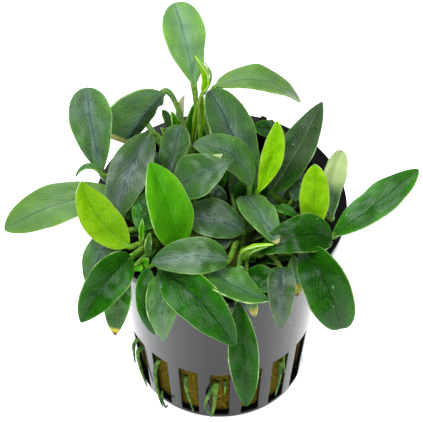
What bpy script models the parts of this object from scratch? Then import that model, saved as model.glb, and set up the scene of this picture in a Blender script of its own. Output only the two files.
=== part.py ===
"""Potted anubias: a small rosette plant in a slotted nursery pot.

The pot stands on z = 0 with its axis on z, and the front of the plant is towards -Y.
Sizes are written in millimetres and turned to metres by MM.
"""

import math
from typing import NamedTuple

import bmesh
import bpy
from mathutils import Vector

MM = 0.001
GAP = 0.35  # clearance that touching pieces keep

# Pot: a moulded cone with a flat flange, a turned-down lip and slots low in the wall
RIM_RADIUS = 27.5
RIM_HEIGHT = 52.0
FLANGE_THICKNESS = 1.0
LIP_DROP = 2.0
LIP_THICKNESS = 0.8
WALL_THICKNESS = 0.9
NECK_RADIUS = 24.4  # outside of the wall, where it meets the flange
BASE_RADIUS = 19.4
FLOOR_THICKNESS = 1.2
FOOT_CHAMFER = 0.8
FLOOR_SLOT_RADII = (8.0, 15.5)
SLOTS = 18
SLOT_HALF_ANGLE = math.radians(6.0)
SLOT_BOTTOM = 1.8
SLOT_TOP = 18.6

# Mineral wool plug: it fills the pot, and the rhizomes lie on its crown
WOOL_TOP = 40.2
WOOL_CLEARANCE = 0.5
WOOL_SHOULDER = 2.5
WOOL_SHOULDER_DROP = 0.5

# Plant tissue
RHIZOME_SIDES = 8
RHIZOME_STEPS = 7
SHEATH_RADIUS = 0.8  # the stalk where it leaves the rhizome
PETIOLE_RADIUS = 0.6
UPWARD_BIAS = 1.0  # how strongly stalks leave from the rhizome's upper side
PETIOLE_STATIONS = (0.0, 0.12, 0.4, 0.68, 0.92)
BLADE_THICKNESS = 0.7
BLADE_STATIONS = (0.06, 0.18, 0.34, 0.5, 0.66, 0.81, 0.93, 1.0)
BLADE_BASE_POWER = 0.62
POINTED = 0.8
ROUNDED = 0.5
TIP_HALF_WIDTH = 0.12
FOLD = 12.0  # degrees that each half of a blade rises from flat
ROOT_RADIUS = 0.45
ROOT_SIDES = 5
ROOT_STEPS = 8

UP = (0, 0, 1)
TO_FRONT = (0, -1, 0.6)


class Leaf(NamedTuple):
    """One leaf, stalk and blade in one piece. Places are in millimetres."""

    rhizome: str  # the stem it grows from
    along: float  # its place there, from 0 at the old end to 1 at the growing tip
    base: tuple  # where the stalk meets the blade
    middle: tuple  # on the midrib, half way
    tip: tuple
    width: float
    face: tuple = UP  # where the upper side looks
    shape: float = POINTED
    age: str = "grown"
    fold: float = FOLD
    lift: float = 0.0  # how far the stalk bows up on its way, over the rim for instance


RHIZOMES = {
    "left": ((-1, 1, 42.9), (-8, -4, 43), (-13, -9.5, 46.5), (-17, -14, 51.5)),
    "front": ((6.5, 8, 42.9), (5.5, 0, 42.9), (4.5, -9, 45.5), (4, -16.5, 50.5)),
    "back": ((-4, 6.5, 42.9), (-5, 11, 44.5), (-6.5, 16.5, 50)),
    "middle": ((-1, -7, 42.9), (-6, -12, 44.5), (-11, -16, 50)),
    "right": ((10.5, -11, 42.9), (13, 0, 43), (17, 8, 47)),
}
RHIZOME_RADII = {"left": 2.3, "front": 2.3, "back": 2.2, "middle": 2.1, "right": 2.0}

LEAVES = {
    # Tall leaves at the back
    "leaf_01": Leaf("back", 0.96, (-5.5, 17, 71), (-7.5, 22.5, 79), (-10, 27.5, 86), 9.6, shape=ROUNDED),
    "leaf_02": Leaf("back", 0.66, (-4, 12.5, 74), (-2.5, 13, 79), (-5.5, 12.5, 85), 2.4,
                    face=(-1, -0.5, 0.3), age="new", fold=45),
    "leaf_03": Leaf("back", 0.82, (-1, 17.5, 71), (9.5, 18, 71.5), (17.5, 18, 65), 8.6, face=(0, 0.1, 1)),
    "leaf_26": Leaf("front", 0.18, (6.5, 1.5, 56), (2.5, 7.5, 66), (-2.5, 13, 74), 10.6, shape=ROUNDED),
    "leaf_27": Leaf("back", 0.08, (-11.5, 3, 55), (-10, 5.5, 62.5), (-8.5, 8.5, 68), 6.6),
    # Left side, from the back to the front
    "leaf_04": Leaf("left", 0.2, (-25.5, 2, 59.5), (-27.5, 7.5, 68), (-28.5, 13, 75), 9.2, shape=ROUNDED),
    "leaf_05": Leaf("back", 0.28, (-13, 13.5, 72), (-19, 10, 69), (-24.5, 10, 61), 8.6,
                    face=(-0.3, -0.5, 1), age="aged", fold=20),
    "leaf_06": Leaf("left", 0.12, (-15, 8, 66), (-19.5, -2.5, 63.5), (-22, -9, 57), 9.4),
    "leaf_07": Leaf("left", 0.46, (-25, -2.5, 57), (-36, -5, 57), (-46.5, -6.5, 51), 9.0, face=(0, -0.45, 1)),
    "leaf_08": Leaf("left", 0.79, (-19.5, -14.5, 55), (-26, -10.5, 60), (-29.5, -6, 66), 8.2, age="new"),
    "leaf_09": Leaf("left", 0.31, (-25.5, 0.5, 62), (-28.5, 0.5, 63.5), (-31, 0, 61), 1.4,
                    age="aged", fold=30, lift=2.5),
    "leaf_11": Leaf("left", 0.92, (-19, -17.3, 54.7), (-24.5, -24, 53.7), (-29.5, -28, 46), 8.6, lift=0.4),
    "leaf_12": Leaf("left", 0.7, (-22, -14, 54), (-26, -17, 52.5), (-27, -21, 45), 8.2),
    "leaf_13": Leaf("left", 1.0, (-20, -20.5, 53), (-22, -23.5, 47), (-22.5, -26, 39), 6.0,
                    face=(-0.4, -1, 0.3), age="aged", fold=5),
    # Centre
    "leaf_10": Leaf("middle", 0.55, (-9, -14, 53), (-11.5, -9.5, 62.5), (-15, -5, 71), 9.4, age="new"),
    "leaf_28": Leaf("front", 0.32, (6.4, -0.7, 58.5), (2.3, 2.2, 65.5), (-6, 2.5, 68), 7.2, face=(0, -0.6, 1)),
    "leaf_29": Leaf("left", 0.0, (-5, 0, 64), (-2.5, -1, 66.5), (0.5, 0.5, 67.5), 2.2, age="aged"),
    "leaf_30": Leaf("left", 0.4, (-10, -3, 61), (-3.5, -3.5, 66), (2, -2, 67.5), 8.0, face=(0, -0.5, 1)),
    "leaf_31": Leaf("front", 0.67, (5, -8, 52), (-1.5, -7, 55), (-8, -5, 54), 8.6, face=(0, -0.4, 1)),
    "leaf_32": Leaf("front", 0.55, (5, -3, 55), (8.5, -8.5, 57.5), (12, -13, 54), 7.0),
    "leaf_35": Leaf("left", 0.63, (-16.6, -11.6, 56.6), (-15.3, -7.8, 59.2), (-13.5, -4, 62), 6.4, lift=0.7),
    "leaf_36": Leaf("left", 0.55, (-15.5, -5, 52), (-16.5, -3, 57), (-17.5, 0, 60), 5.5),
    # Front, over the rim
    "leaf_14": Leaf("front", 0.8, (1.5, -20.5, 57.2), (-5, -21.5, 60), (-14.5, -21.5, 57.8), 8.6, face=(0, -0.5, 1)),
    "leaf_15": Leaf("middle", 0.72, (-9.5, -19.5, 54.8), (-4.5, -28, 53.3), (3, -31, 42), 8.8, face=(-0.2, -0.8, 0.8)),
    "leaf_16": Leaf("middle", 0.3, (-2, -20, 55), (3.5, -24.5, 55), (10.5, -26.5, 51.5), 7.8),
    "leaf_17": Leaf("front", 1.0, (3.5, -28, 53), (4.5, -36.5, 46), (5.5, -40.5, 33), 7.0, face=TO_FRONT),
    "leaf_37": Leaf("middle", 1.0, (-16, -19.8, 54), (-16.2, -26.5, 51), (-15.3, -28, 42), 4.6, face=TO_FRONT),
    "leaf_38": Leaf("middle", 0.94, (-13.2, -21.7, 54), (-13, -29, 52), (-12, -30, 42), 6.2, face=TO_FRONT),
    "leaf_40": Leaf("front", 0.9, (4.5, -18.5, 56.5), (6, -19.5, 60), (11, -20, 62), 1.6, age="new", fold=40),
    # Right side, from the front to the back
    "leaf_18": Leaf("front", 0.85, (12.7, -20.5, 55), (12.7, -26, 53.5), (12.7, -28, 44), 5.8, face=TO_FRONT),
    "leaf_19": Leaf("right", 0.17, (17.5, -15.5, 55.2), (22, -24.5, 54.5), (25.5, -28, 44), 9.8,
                    face=TO_FRONT, shape=ROUNDED),
    "leaf_20": Leaf("front", 0.95, (8, -17.5, 55.7), (15.5, -16, 60), (23.5, -13, 55.8), 8.2, face=(0, -0.4, 1)),
    "leaf_21": Leaf("right", 0.3, (24, -10.5, 54), (33.5, -6.5, 58.5), (42.5, 2, 61), 7.6, lift=2),
    "leaf_22": Leaf("right", 0.8, (11, 2, 54), (16.5, 7, 61.5), (22, 14.5, 69), 8.2),
    "leaf_23": Leaf("right", 0.6, (8, 0.5, 55), (11, 3.5, 63.5), (12, 6, 72), 4.8, age="new", fold=20),
    "leaf_24": Leaf("right", 0.5, (19.5, -6.5, 54), (20, -4.5, 59.5), (20, -1, 66), 6.4, face=TO_FRONT, age="new"),
    "leaf_25": Leaf("right", 0.9, (24, -6, 54), (24, -1.5, 60.5), (25, 3, 66), 5.0, face=TO_FRONT,
                    shape=ROUNDED, age="aged", fold=30, lift=2),
    "leaf_33": Leaf("right", 0.38, (11.5, -1, 52), (14, -3.5, 54), (17, -5, 53), 2.6),
    "leaf_34": Leaf("right", 0.72, (15.5, 0.5, 53), (17, 1.5, 55), (18.5, 2.8, 57), 4.0),
    "leaf_39": Leaf("right", 0.02, (15.5, -16, 53.3), (15.8, -22, 53.2), (16, -25, 51), 3.4, age="aged"),
    # Hidden behind, over the back of the rim
    "leaf_41": Leaf("back", 0.48, (-2, 26, 54.5), (1, 33, 50), (3.5, 38, 40), 8.0),
    "leaf_42": Leaf("back", 0.55, (-17, 22, 55), (-23, 27, 52), (-27, 29, 43), 8.4),
    "leaf_43": Leaf("right", 1.0, (17, 18, 55.8), (20, 24.5, 52.3), (20, 28, 42), 7.0),
}

LEAF_COLOURS = {"new": (0.36, 0.60, 0.02), "grown": (0.06, 0.20, 0.05), "aged": (0.25, 0.32, 0.08)}

# Roots that hang out of the slots: (degrees round from the front, distance off the wall, height)
ROOTS = {
    "root_1": ((-57, -0.6, 16), (-59, 0.9, 14), (-58, 1.1, 8), (-54, 1.0, 2.5)),
    "root_2": ((-63, -0.6, 17), (-64, 0.9, 14.5), (-64, 1.4, 8)),
    "root_3": ((-42, -0.6, 16.5), (-43, 0.8, 13), (-43, 0.9, 5), (-38, 1.8, 1.2)),
    "root_4": ((-22, -0.6, 15.5), (-21, 0.6, 12), (-17.5, 0.6, 3)),
    "root_5": ((-2, -0.6, 15), (-6, 1.0, 12.5), (-9, 1.4, 8), (-5.5, 0.9, 2.2)),
    "root_6": ((41.5, -0.6, 16), (39, 0.7, 12), (37.5, 0.8, 5)),
}


def start_empty():
    for old in list(bpy.data.objects):
        bpy.data.objects.remove(old)


def material(name, colour, roughness):
    made = bpy.data.materials.new(name)
    made.use_nodes = True
    shader = made.node_tree.nodes["Principled BSDF"]
    shader.inputs["Base Color"].default_value = (*colour, 1.0)
    shader.inputs["Roughness"].default_value = roughness
    shader.inputs["Metallic"].default_value = 0.0
    return made


def object_from(bm, name, finish):
    """Closes a bmesh in millimetres into an object in metres."""
    bmesh.ops.recalc_face_normals(bm, faces=bm.faces)
    bmesh.ops.scale(bm, vec=(MM, MM, MM), verts=bm.verts)
    mesh = bpy.data.meshes.new(name)
    bm.to_mesh(mesh)
    bm.free()
    mesh.materials.append(finish)
    mesh.shade_smooth()
    mesh.set_sharp_from_angle(angle=math.radians(40))
    obj = bpy.data.objects.new(name, mesh)
    bpy.context.scene.collection.objects.link(obj)
    return obj


def stitch(bm, near, far):
    """A band of faces between two loops of equally many vertices."""
    count = len(near)
    band = []
    for i in range(count):
        j = (i + 1) % count
        band.append(bm.faces.new((near[i], near[j], far[j], far[i])))
    return band


def loft(rings):
    """A closed solid through rings of points, with flat ends."""
    bm = bmesh.new()
    loops = [[bm.verts.new(point) for point in ring] for ring in rings]
    bands = [stitch(bm, near, far) for near, far in zip(loops, loops[1:])]
    bm.faces.new(loops[0])
    bm.faces.new(loops[-1])
    return bm, bands


def meridians():
    """Angles of the pot's corners: two to a slot, the first slot facing the front."""
    front = -math.pi / 2
    for slot in range(SLOTS):
        centre = front + slot * 2 * math.pi / SLOTS
        yield centre - SLOT_HALF_ANGLE
        yield centre + SLOT_HALF_ANGLE


def turned(profile):
    """A solid turned about the pot's axis from (radius, height) points, closed by flat ends."""
    angles = list(meridians())
    return loft([[(r * math.cos(a), r * math.sin(a), z) for a in angles] for r, z in profile])


def wall_radius(z):
    """Outer radius of the pot's wall at a height."""
    return BASE_RADIUS + (NECK_RADIUS - BASE_RADIUS) * z / (RIM_HEIGHT - FLANGE_THICKNESS)


def cut_through(bm, first, second):
    """Opens a hole between two faces that look away from each other."""
    edges = [edge for face in (first, second) for edge in face.edges]
    bmesh.ops.delete(bm, geom=[first, second], context="FACES_ONLY")
    bmesh.ops.bridge_loops(bm, edges=edges)


def make_pot(finish):
    under = RIM_HEIGHT - FLANGE_THICKNESS
    lip_end = RIM_HEIGHT - LIP_DROP
    lip_inside = RIM_RADIUS - LIP_THICKNESS
    slot_near, slot_far = FLOOR_SLOT_RADII
    outside = [
        (slot_near, 0),
        (slot_far, 0),
        (BASE_RADIUS - FOOT_CHAMFER, 0),
        (wall_radius(FOOT_CHAMFER), FOOT_CHAMFER),
        (wall_radius(SLOT_BOTTOM), SLOT_BOTTOM),
        (wall_radius(SLOT_TOP), SLOT_TOP),
        (NECK_RADIUS, under),
        (lip_inside, under),
        (lip_inside, lip_end),
        (RIM_RADIUS, lip_end),
        (RIM_RADIUS, RIM_HEIGHT),
    ]
    inside = [
        (NECK_RADIUS - WALL_THICKNESS, RIM_HEIGHT),
        (wall_radius(SLOT_TOP) - WALL_THICKNESS, SLOT_TOP),
        (wall_radius(SLOT_BOTTOM) - WALL_THICKNESS, SLOT_BOTTOM),
        (wall_radius(FLOOR_THICKNESS) - WALL_THICKNESS, FLOOR_THICKNESS),
        (slot_far, FLOOR_THICKNESS),
        (slot_near, FLOOR_THICKNESS),
    ]
    bm, bands = turned(outside + inside)
    floor_under, wall_outside = bands[0], bands[4]
    wall_inside, floor_above = bands[12], bands[15]
    for slot in range(SLOTS):
        cut_through(bm, wall_outside[2 * slot], wall_inside[2 * slot])
        cut_through(bm, floor_under[2 * slot], floor_above[2 * slot])
    return object_from(bm, "pot", finish)


def wool_radius(z):
    return wall_radius(z) - WALL_THICKNESS - WOOL_CLEARANCE


def make_wool(finish):
    low = FLOOR_THICKNESS + GAP
    shoulder = WOOL_TOP - WOOL_SHOULDER
    edge = wool_radius(shoulder)
    profile = [
        (wool_radius(low), low),
        (edge, shoulder),
        (edge - WOOL_SHOULDER, WOOL_TOP - WOOL_SHOULDER_DROP),
        (edge / 2, WOOL_TOP),
    ]
    return object_from(turned(profile)[0], "mineral_wool", finish)


def smooth_path(points, t):
    """A point on the smooth curve through points, from 0 at the first to 1 at the last."""
    spans = len(points) - 1
    k = min(int(t * spans), spans - 1)
    u = t * spans - k
    p1, p2 = Vector(points[k]), Vector(points[k + 1])
    p0 = Vector(points[k - 1]) if k > 0 else 2 * p1 - p2
    p3 = Vector(points[k + 2]) if k + 2 <= spans else 2 * p2 - p1
    return 0.5 * (2 * p1 + (p2 - p0) * u + (2 * p0 - 5 * p1 + 4 * p2 - p3) * u * u
                  + (3 * p1 - p0 - 3 * p2 + p3) * u ** 3)


def path_direction(points, t, step=0.01):
    ahead = smooth_path(points, min(1.0, t + step))
    behind = smooth_path(points, max(0.0, t - step))
    return (ahead - behind).normalized()


def square_to(vector, direction):
    """The part of a vector that is square to a direction, one long."""
    return (vector - vector.dot(direction) * direction).normalized()


def tube(points, radius, sides, steps):
    """A round stem along a smooth path, its radius given by a function of 0 to 1."""
    rings = []
    normal = Vector(UP)
    for k in range(steps + 1):
        t = k / steps
        centre, along = smooth_path(points, t), path_direction(points, t)
        normal = square_to(normal, along)
        side = along.cross(normal)
        turns = [2 * math.pi * i / sides for i in range(sides)]
        rings.append([centre + radius(t) * (math.cos(a) * side + math.sin(a) * normal) for a in turns])
    return loft(rings)[0]


def rhizome_radius(name, t):
    """Full in the middle, narrower at the cut end and at the growing tip."""
    return RHIZOME_RADII[name] * min(1.0, 0.62 + 3.0 * t, 0.45 + 3.5 * (1 - t))


def make_rhizomes(finish):
    for name, points in RHIZOMES.items():
        bm = tube(points, lambda t, n=name: rhizome_radius(n, t), RHIZOME_SIDES, RHIZOME_STEPS)
        object_from(bm, f"rhizome_{name}", finish)


def make_roots(finish):
    for name, places in ROOTS.items():
        points = []
        for degrees, off, z in places:
            turn = math.radians(degrees - 90)
            r = wall_radius(z) + off
            points.append((r * math.cos(turn), r * math.sin(turn), z))
        bm = tube(points, lambda t: ROOT_RADIUS * (1 - 0.5 * t), ROOT_SIDES, ROOT_STEPS)
        object_from(bm, name, finish)


def blade_half_width(share, shape):
    """Half the width at a share of the blade's length, 1 at the widest place."""
    widest = BLADE_BASE_POWER / (BLADE_BASE_POWER + shape)
    there = share ** BLADE_BASE_POWER * (1 - share) ** shape
    return there / (widest ** BLADE_BASE_POWER * (1 - widest) ** shape)


def stalk_line(leaf):
    """Four points that steer the stalk: on the rhizome, two handles, and the blade's base."""
    points = RHIZOMES[leaf.rhizome]
    axis, along = smooth_path(points, leaf.along), path_direction(points, leaf.along)
    base = Vector(leaf.base)
    outward = square_to((base - axis).normalized() + UPWARD_BIAS * Vector(UP), along)
    root = axis + outward * (rhizome_radius(leaf.rhizome, leaf.along) + GAP)
    length = (base - root).length
    into_blade = (blade_handle(leaf) - base).normalized()
    rise = Vector((0, 0, 2 * leaf.lift))
    return root, root + outward * 0.4 * length + rise, base - into_blade * 0.15 * length, base


def blade_handle(leaf):
    """The point that pulls the blade's curve through its middle."""
    return 2 * Vector(leaf.middle) - (Vector(leaf.base) + Vector(leaf.tip)) / 2


def curve_point(handles, t):
    """A point on the curve that a list of handles steers, and its direction there."""
    points = list(handles)
    while len(points) > 2:
        points = [a.lerp(b, t) for a, b in zip(points, points[1:])]
    return points[0].lerp(points[1], t), (points[1] - points[0]).normalized()


def leaf_stations(leaf):
    """Rings of the leaf from root to tip: centre, direction, half width, half thickness, fold."""
    stalk = stalk_line(leaf)
    for t in PETIOLE_STATIONS:
        radius = SHEATH_RADIUS if t == 0 else PETIOLE_RADIUS
        yield *curve_point(stalk, t), radius, radius, 0.0
    blade = (Vector(leaf.base), blade_handle(leaf), Vector(leaf.tip))
    for t in BLADE_STATIONS:
        half = max(TIP_HALF_WIDTH, blade_half_width(t, leaf.shape) * leaf.width / 2)
        yield *curve_point(blade, t), half, BLADE_THICKNESS / 2 * (1 - 0.7 * t), leaf.fold


def leaf_ring(centre, side, normal, half, thick, fold):
    """Six corners: round for the stalk, a thin lens with raised edges for the blade."""
    across = (-1, -0.5, 0.5, 1, 0.5, -0.5) if fold == 0 else (-1, -0.35, 0.35, 1, 0.35, -0.35)
    above = (0, 0.87, 0.87, 0, -0.87, -0.87) if fold == 0 else (0, 1, 1, 0, -1, -1)
    rise = math.tan(math.radians(fold)) * half
    return [centre + side * half * x + normal * (thick * y + abs(x) * rise) for x, y in zip(across, above)]


def make_leaf(name, leaf, finish):
    normal = Vector(leaf.face)
    rings = []
    for centre, way, half, thick, fold in reversed(list(leaf_stations(leaf))):
        normal = square_to(normal, way)
        rings.append(leaf_ring(centre, way.cross(normal), normal, half, thick, fold))
    return object_from(loft(rings)[0], name, finish)


def main():
    start_empty()
    make_pot(material("black_polypropylene", (0.035, 0.035, 0.04), 0.5))
    make_wool(material("mineral_wool", (0.36, 0.22, 0.06), 0.95))
    make_rhizomes(material("rhizome_skin", (0.20, 0.26, 0.06), 0.6))
    make_roots(material("root_skin", (0.16, 0.28, 0.05), 0.6))
    finishes = {age: material(f"leaf_{age}", colour, 0.45) for age, colour in LEAF_COLOURS.items()}
    for name, leaf in LEAVES.items():
        make_leaf(name, leaf, finishes[leaf.age])


main()
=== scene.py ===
# %% [markdown]
# # A potted anubias
#
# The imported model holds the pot, its wool plug, five creeping stems, forty-three leaves and six roots, all at
# their real size. This lesson gives each of them the surface of the real thing: a finer piece takes the place
# of each solid, and the small pieces that the photograph shows between them are added. The plant faces -Y,
# and lengths below are in millimetres, turned into metres by MM.

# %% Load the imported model
import math
import random
from typing import NamedTuple

import bmesh
import bpy
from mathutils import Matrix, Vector, noise


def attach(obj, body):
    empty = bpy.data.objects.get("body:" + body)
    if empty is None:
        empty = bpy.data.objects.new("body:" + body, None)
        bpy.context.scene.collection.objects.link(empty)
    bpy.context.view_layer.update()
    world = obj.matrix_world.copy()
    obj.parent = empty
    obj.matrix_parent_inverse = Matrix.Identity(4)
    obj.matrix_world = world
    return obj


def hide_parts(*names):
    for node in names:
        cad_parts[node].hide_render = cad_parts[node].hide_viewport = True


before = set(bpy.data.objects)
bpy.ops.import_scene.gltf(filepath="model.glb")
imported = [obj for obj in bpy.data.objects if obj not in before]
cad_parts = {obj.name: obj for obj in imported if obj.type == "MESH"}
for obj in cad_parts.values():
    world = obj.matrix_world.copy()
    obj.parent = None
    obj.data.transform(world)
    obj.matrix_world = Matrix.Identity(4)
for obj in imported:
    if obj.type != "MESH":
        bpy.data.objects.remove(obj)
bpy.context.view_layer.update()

MM = 0.001
print("nodes:", len(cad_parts))

# %% [markdown]
# ## The camera
#
# The photograph was taken from the front and well above, at about 49 degrees, from some way off: the rim's
# ellipse gives the height of the view, and a nearly parallel look of the pot's two sides gives the distance.
# A long lens from half a metre shows the same. Colours are shown as they are, without a film curve, so that
# a pale green stays pale and a white ground stays white.

# %% The camera
CAMERA_AIM = Vector((-1.94, 0.0, 49.76))
CAMERA_PLACE = Vector((-1.94, -342.7, 440.8))
CAMERA_LENS = 203.2

bpy.ops.object.camera_add(location=CAMERA_PLACE * MM)
camera = bpy.context.object
camera.name = "camera"
camera.rotation_euler = (CAMERA_AIM - CAMERA_PLACE).to_track_quat("-Z", "Y").to_euler()
camera.data.lens = CAMERA_LENS
camera.data.clip_start = 10 * MM
bpy.context.scene.camera = camera
bpy.context.scene.view_settings.view_transform = "Standard"
print("camera elevation:", round(math.degrees(math.asin((CAMERA_PLACE - CAMERA_AIM).normalized().z)), 1))

# %% [markdown]
# ## Finishes: a few small helpers
#
# Every finish is a network of nodes. One function turns a hex colour, which is how a painter or a web page
# names it, into the linear numbers that light needs. Another adds a node, and sets or links its inputs. A
# third does a sum with such nodes.

# %% Helpers for finishes
def linear(hex_colour):
    """The linear RGBA of an sRGB hex colour such as 6f9855."""
    shares = [int(hex_colour[i:i + 2], 16) / 255 for i in (0, 2, 4)]
    return [s / 12.92 if s <= 0.04045 else ((s + 0.055) / 1.055) ** 2.4 for s in shares] + [1.0]


def add(tree, kind, inputs=None, **settings):
    """Adds a shader node. Inputs are values or other nodes' outputs, by name or by number."""
    made = tree.nodes.new("ShaderNode" + kind)
    for name, value in settings.items():
        setattr(made, name, value)
    for name, value in (inputs or {}).items():
        if isinstance(value, bpy.types.NodeSocket):
            tree.links.new(value, made.inputs[name])
        else:
            made.inputs[name].default_value = value
    return made


def maths(tree, operation, *inputs):
    """The result of one sum with values or other nodes' outputs."""
    return add(tree, "Math", dict(enumerate(inputs)), operation=operation).outputs[0]


def new_finish(name, **sockets):
    """A material whose shader has these values on its own sockets. Returns it, its tree and its shader."""
    finish = bpy.data.materials.new(name)
    finish.use_nodes = True
    shader = finish.node_tree.nodes["Principled BSDF"]
    for socket, value in sockets.items():
        shader.inputs[socket.replace("_", " ")].default_value = value
    return finish, finish.node_tree, shader


# %% [markdown]
# ## The floor and the light
#
# A plant shot for a catalogue stands on a white sweep under soft boxes, with a shadow that hardly shows. The
# gloss on the leaves tells where the boxes are. A big one hangs overhead, and blades that lie nearly flat
# mirror it as a grey-blue sheen. A weaker one stands behind, and another in front, which lights the tall
# blades that face the camera. The sweep is lit from below as well, as a catalogue's white table is, so that
# its shadows stay faint.

# %% The floor
FLOOR_SIZE = 3000
PAPER_GRAIN = 40  # size of the paper's faint clouds

floor_finish, floor_tree, floor_shader = new_finish(
    "white_paper_sweep", Roughness=0.9, Emission_Strength=0.9)
floor_shader.inputs["Emission Color"].default_value = linear("ffffff")
grain = add(floor_tree, "TexNoise", {"Scale": 1 / (PAPER_GRAIN * MM), "Detail": 2.0})
paper = add(floor_tree, "Mix", {0: grain.outputs["Fac"], 6: linear("fbfbfa"), 7: linear("f8f8f7")},
            data_type="RGBA")
floor_tree.links.new(paper.outputs[2], floor_shader.inputs["Base Color"])

bpy.ops.mesh.primitive_plane_add(size=FLOOR_SIZE * MM, location=(0, 0, 0))
floor = bpy.context.object
floor.name = "floor"
floor.data.materials.append(floor_finish)

# %% The lights
SOFT_BOXES = {
    # name: (place, aims at, side in mm, watts, colour)
    "box_overhead": ((-150, -60, 900), (0, 0, 50), 700, 9.5, "f2f6ff"),
    "box_behind": ((-300, 800, 560), (0, 0, 50), 600, 3.0, "eef4ff"),
    "box_in_front": ((200, -850, 680), (0, 0, 50), 450, 4.0, "fbfcff"),
}
ROOM_DARK, ROOM_BRIGHT = 0.06, 0.22
BRIGHT_SIDE = (0.0, 0.62, 0.78)  # the room is brighter above and behind the plant

for name, (place, aim, side, watts, colour) in SOFT_BOXES.items():
    bpy.ops.object.light_add(type="AREA", location=Vector(place) * MM)
    lamp = bpy.context.object
    lamp.name = name
    lamp.rotation_euler = (Vector(aim) - Vector(place)).to_track_quat("-Z", "Y").to_euler()
    lamp.data.size = side * MM
    lamp.data.energy = watts
    lamp.data.color = linear(colour)[:3]

world = bpy.data.worlds.new("studio")
world.use_nodes = True
studio = world.node_tree
looks = add(studio, "VectorMath", {0: add(studio, "TexCoord").outputs["Generated"], 1: BRIGHT_SIDE},
            operation="DOT_PRODUCT").outputs["Value"]
room = add(studio, "MapRange", {0: looks, 1: -0.3, 2: 0.8, 3: ROOM_DARK, 4: ROOM_BRIGHT}).outputs[0]
studio.links.new(room, studio.nodes["Background"].inputs["Strength"])
studio.nodes["Background"].inputs["Color"].default_value = linear("ffffff")
bpy.context.scene.world = world
print("soft boxes:", len(SOFT_BOXES))

# %% [markdown]
# ## How a piece is handed over
#
# Each finished piece rides on the body "root", because nothing on this object moves. It stands for one packed
# node or more, and carries its own finish.

# %% Hand a piece over
def hand_over(piece, name, nodes=()):
    """Names a finished piece, ties it to the frame and says how large it is."""
    piece.name = name
    piece.data.name = name
    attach(piece, "root")
    if nodes:
        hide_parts(*nodes)
    triangles = sum(len(face.vertices) - 2 for face in piece.data.polygons)
    print(f"{name}: {triangles} triangles")


def select_only(piece):
    bpy.ops.object.select_all(action="DESELECT")
    piece.select_set(True)
    bpy.context.view_layer.objects.active = piece


def apply_modifiers(piece):
    select_only(piece)
    for modifier in list(piece.modifiers):
        bpy.ops.object.modifier_apply(modifier=modifier.name)


def merge_and_face_out(piece, distance=0.002 * MM):
    """Closes seams and poles, and turns every face outwards."""
    select_only(piece)
    bpy.ops.object.mode_set(mode="EDIT")
    bpy.ops.mesh.select_all(action="SELECT")
    bpy.ops.mesh.remove_doubles(threshold=distance)
    bpy.ops.mesh.normals_make_consistent(inside=False)
    bpy.ops.object.mode_set(mode="OBJECT")


# %% [markdown]
# ## The leaf finishes
#
# An anubias leaf is leathery and waxed. The blade is deep green with a paler, yellower margin, and fine side
# veins run from the midrib and bend towards the tip. Its wax reflects the room as a cool grey veil, and along
# the middle that veil is also laid into the colour as a painted sheen; the pale line at the margin is partly a
# painted highlight. Young leaves are thin, bright lime and less waxed; old ones turn yellow and then brown from
# the tip. Each finish is one network on the leaf's own UV map, where U runs from the base to the tip and V
# across: colours go from the painted sheen of the middle to the margin, lines follow the veins, and soft noise
# in real millimetres breaks it up.

# %% The leaf tones
VEINS = 14          # side veins on each half of a blade, about 1.5 mm apart on one of 20 mm
VEIN_SWEEP = 0.46   # how far a side vein runs towards the tip on its way to the margin
VEIN_BEND = 1.35    # 1 for straight side veins, more for ones that bend towards the tip
WANDER = 0.16       # how far the mottle shifts a line, as a share of the blade's length
MOTTLE_MM = 5.0     # patches of lighter and darker green
GRAIN_MM = 0.35     # the skin's grain; real cells are ten times finer, which would not show
STREAKS = 46.0      # fine lines between the side veins, along the length of a blade
STREAK_SHARE = 0.4  # how much of the fine pattern is streaks, and not grain
SPECK_MM = 1.6       # a pale speck in some of the cells of this size: partly dust, partly a painted glint on a droplet

LEAF_TONES = {
    # name: (blade, margin, middle with its painted sheen, midrib, gloss roughness, gloss level)
    "lime": ("86c400", "a4d81c", "7cbc00", "68a400", 0.5, 0.1),
    "bright": ("449800", "62b010", "3c8c00", "348000", 0.45, 0.15),
    "fresh": ("62903a", "6c9c30", "7a9c5e", "4c7644", 0.4, 0.4),
    "soft": ("689a44", "74a842", "7c9e7c", "52785a", 0.36, 0.5),
    "mid": ("467826", "529026", "587e58", "365a3c", 0.32, 0.5),
    "grey": ("3e622a", "4a7a28", "5c7663", "2e443e", 0.32, 0.5),
    "deep": ("265e06", "388410", "306416", "163e12", 0.22, 0.26),
    "dark": ("1c5404", "2c7806", "22560e", "10360a", 0.2, 0.18),
    # this tone's pale midrib line is partly its own colour and partly a painted highlight along the rib
    "ribbed": ("20500a", "2c7406", "2c5420", "7c9468", 0.26, 0.2),
    # this tone's pale grey middle is a painted sheen, a reflection laid into the colour
    "silver": ("2c5a12", "46801c", "7c9a7e", "38543e", 0.3, 0.5),
    "dried": ("d4d8b4", "b4a878", "e0e4cc", "c0c090", 0.7, 0.3),
}
print("leaf tones:", len(LEAF_TONES))

# %% Helpers for patterns
def own_pattern(tree, kind, size, **inputs):
    """A noise or Voronoi texture that is fixed to the piece itself, with its size in millimetres."""
    spot = add(tree, "TexCoord").outputs["Object"]
    return add(tree, kind, {"Vector": spot, "Scale": 1 / (size * MM), **inputs}).outputs[0]


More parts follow.
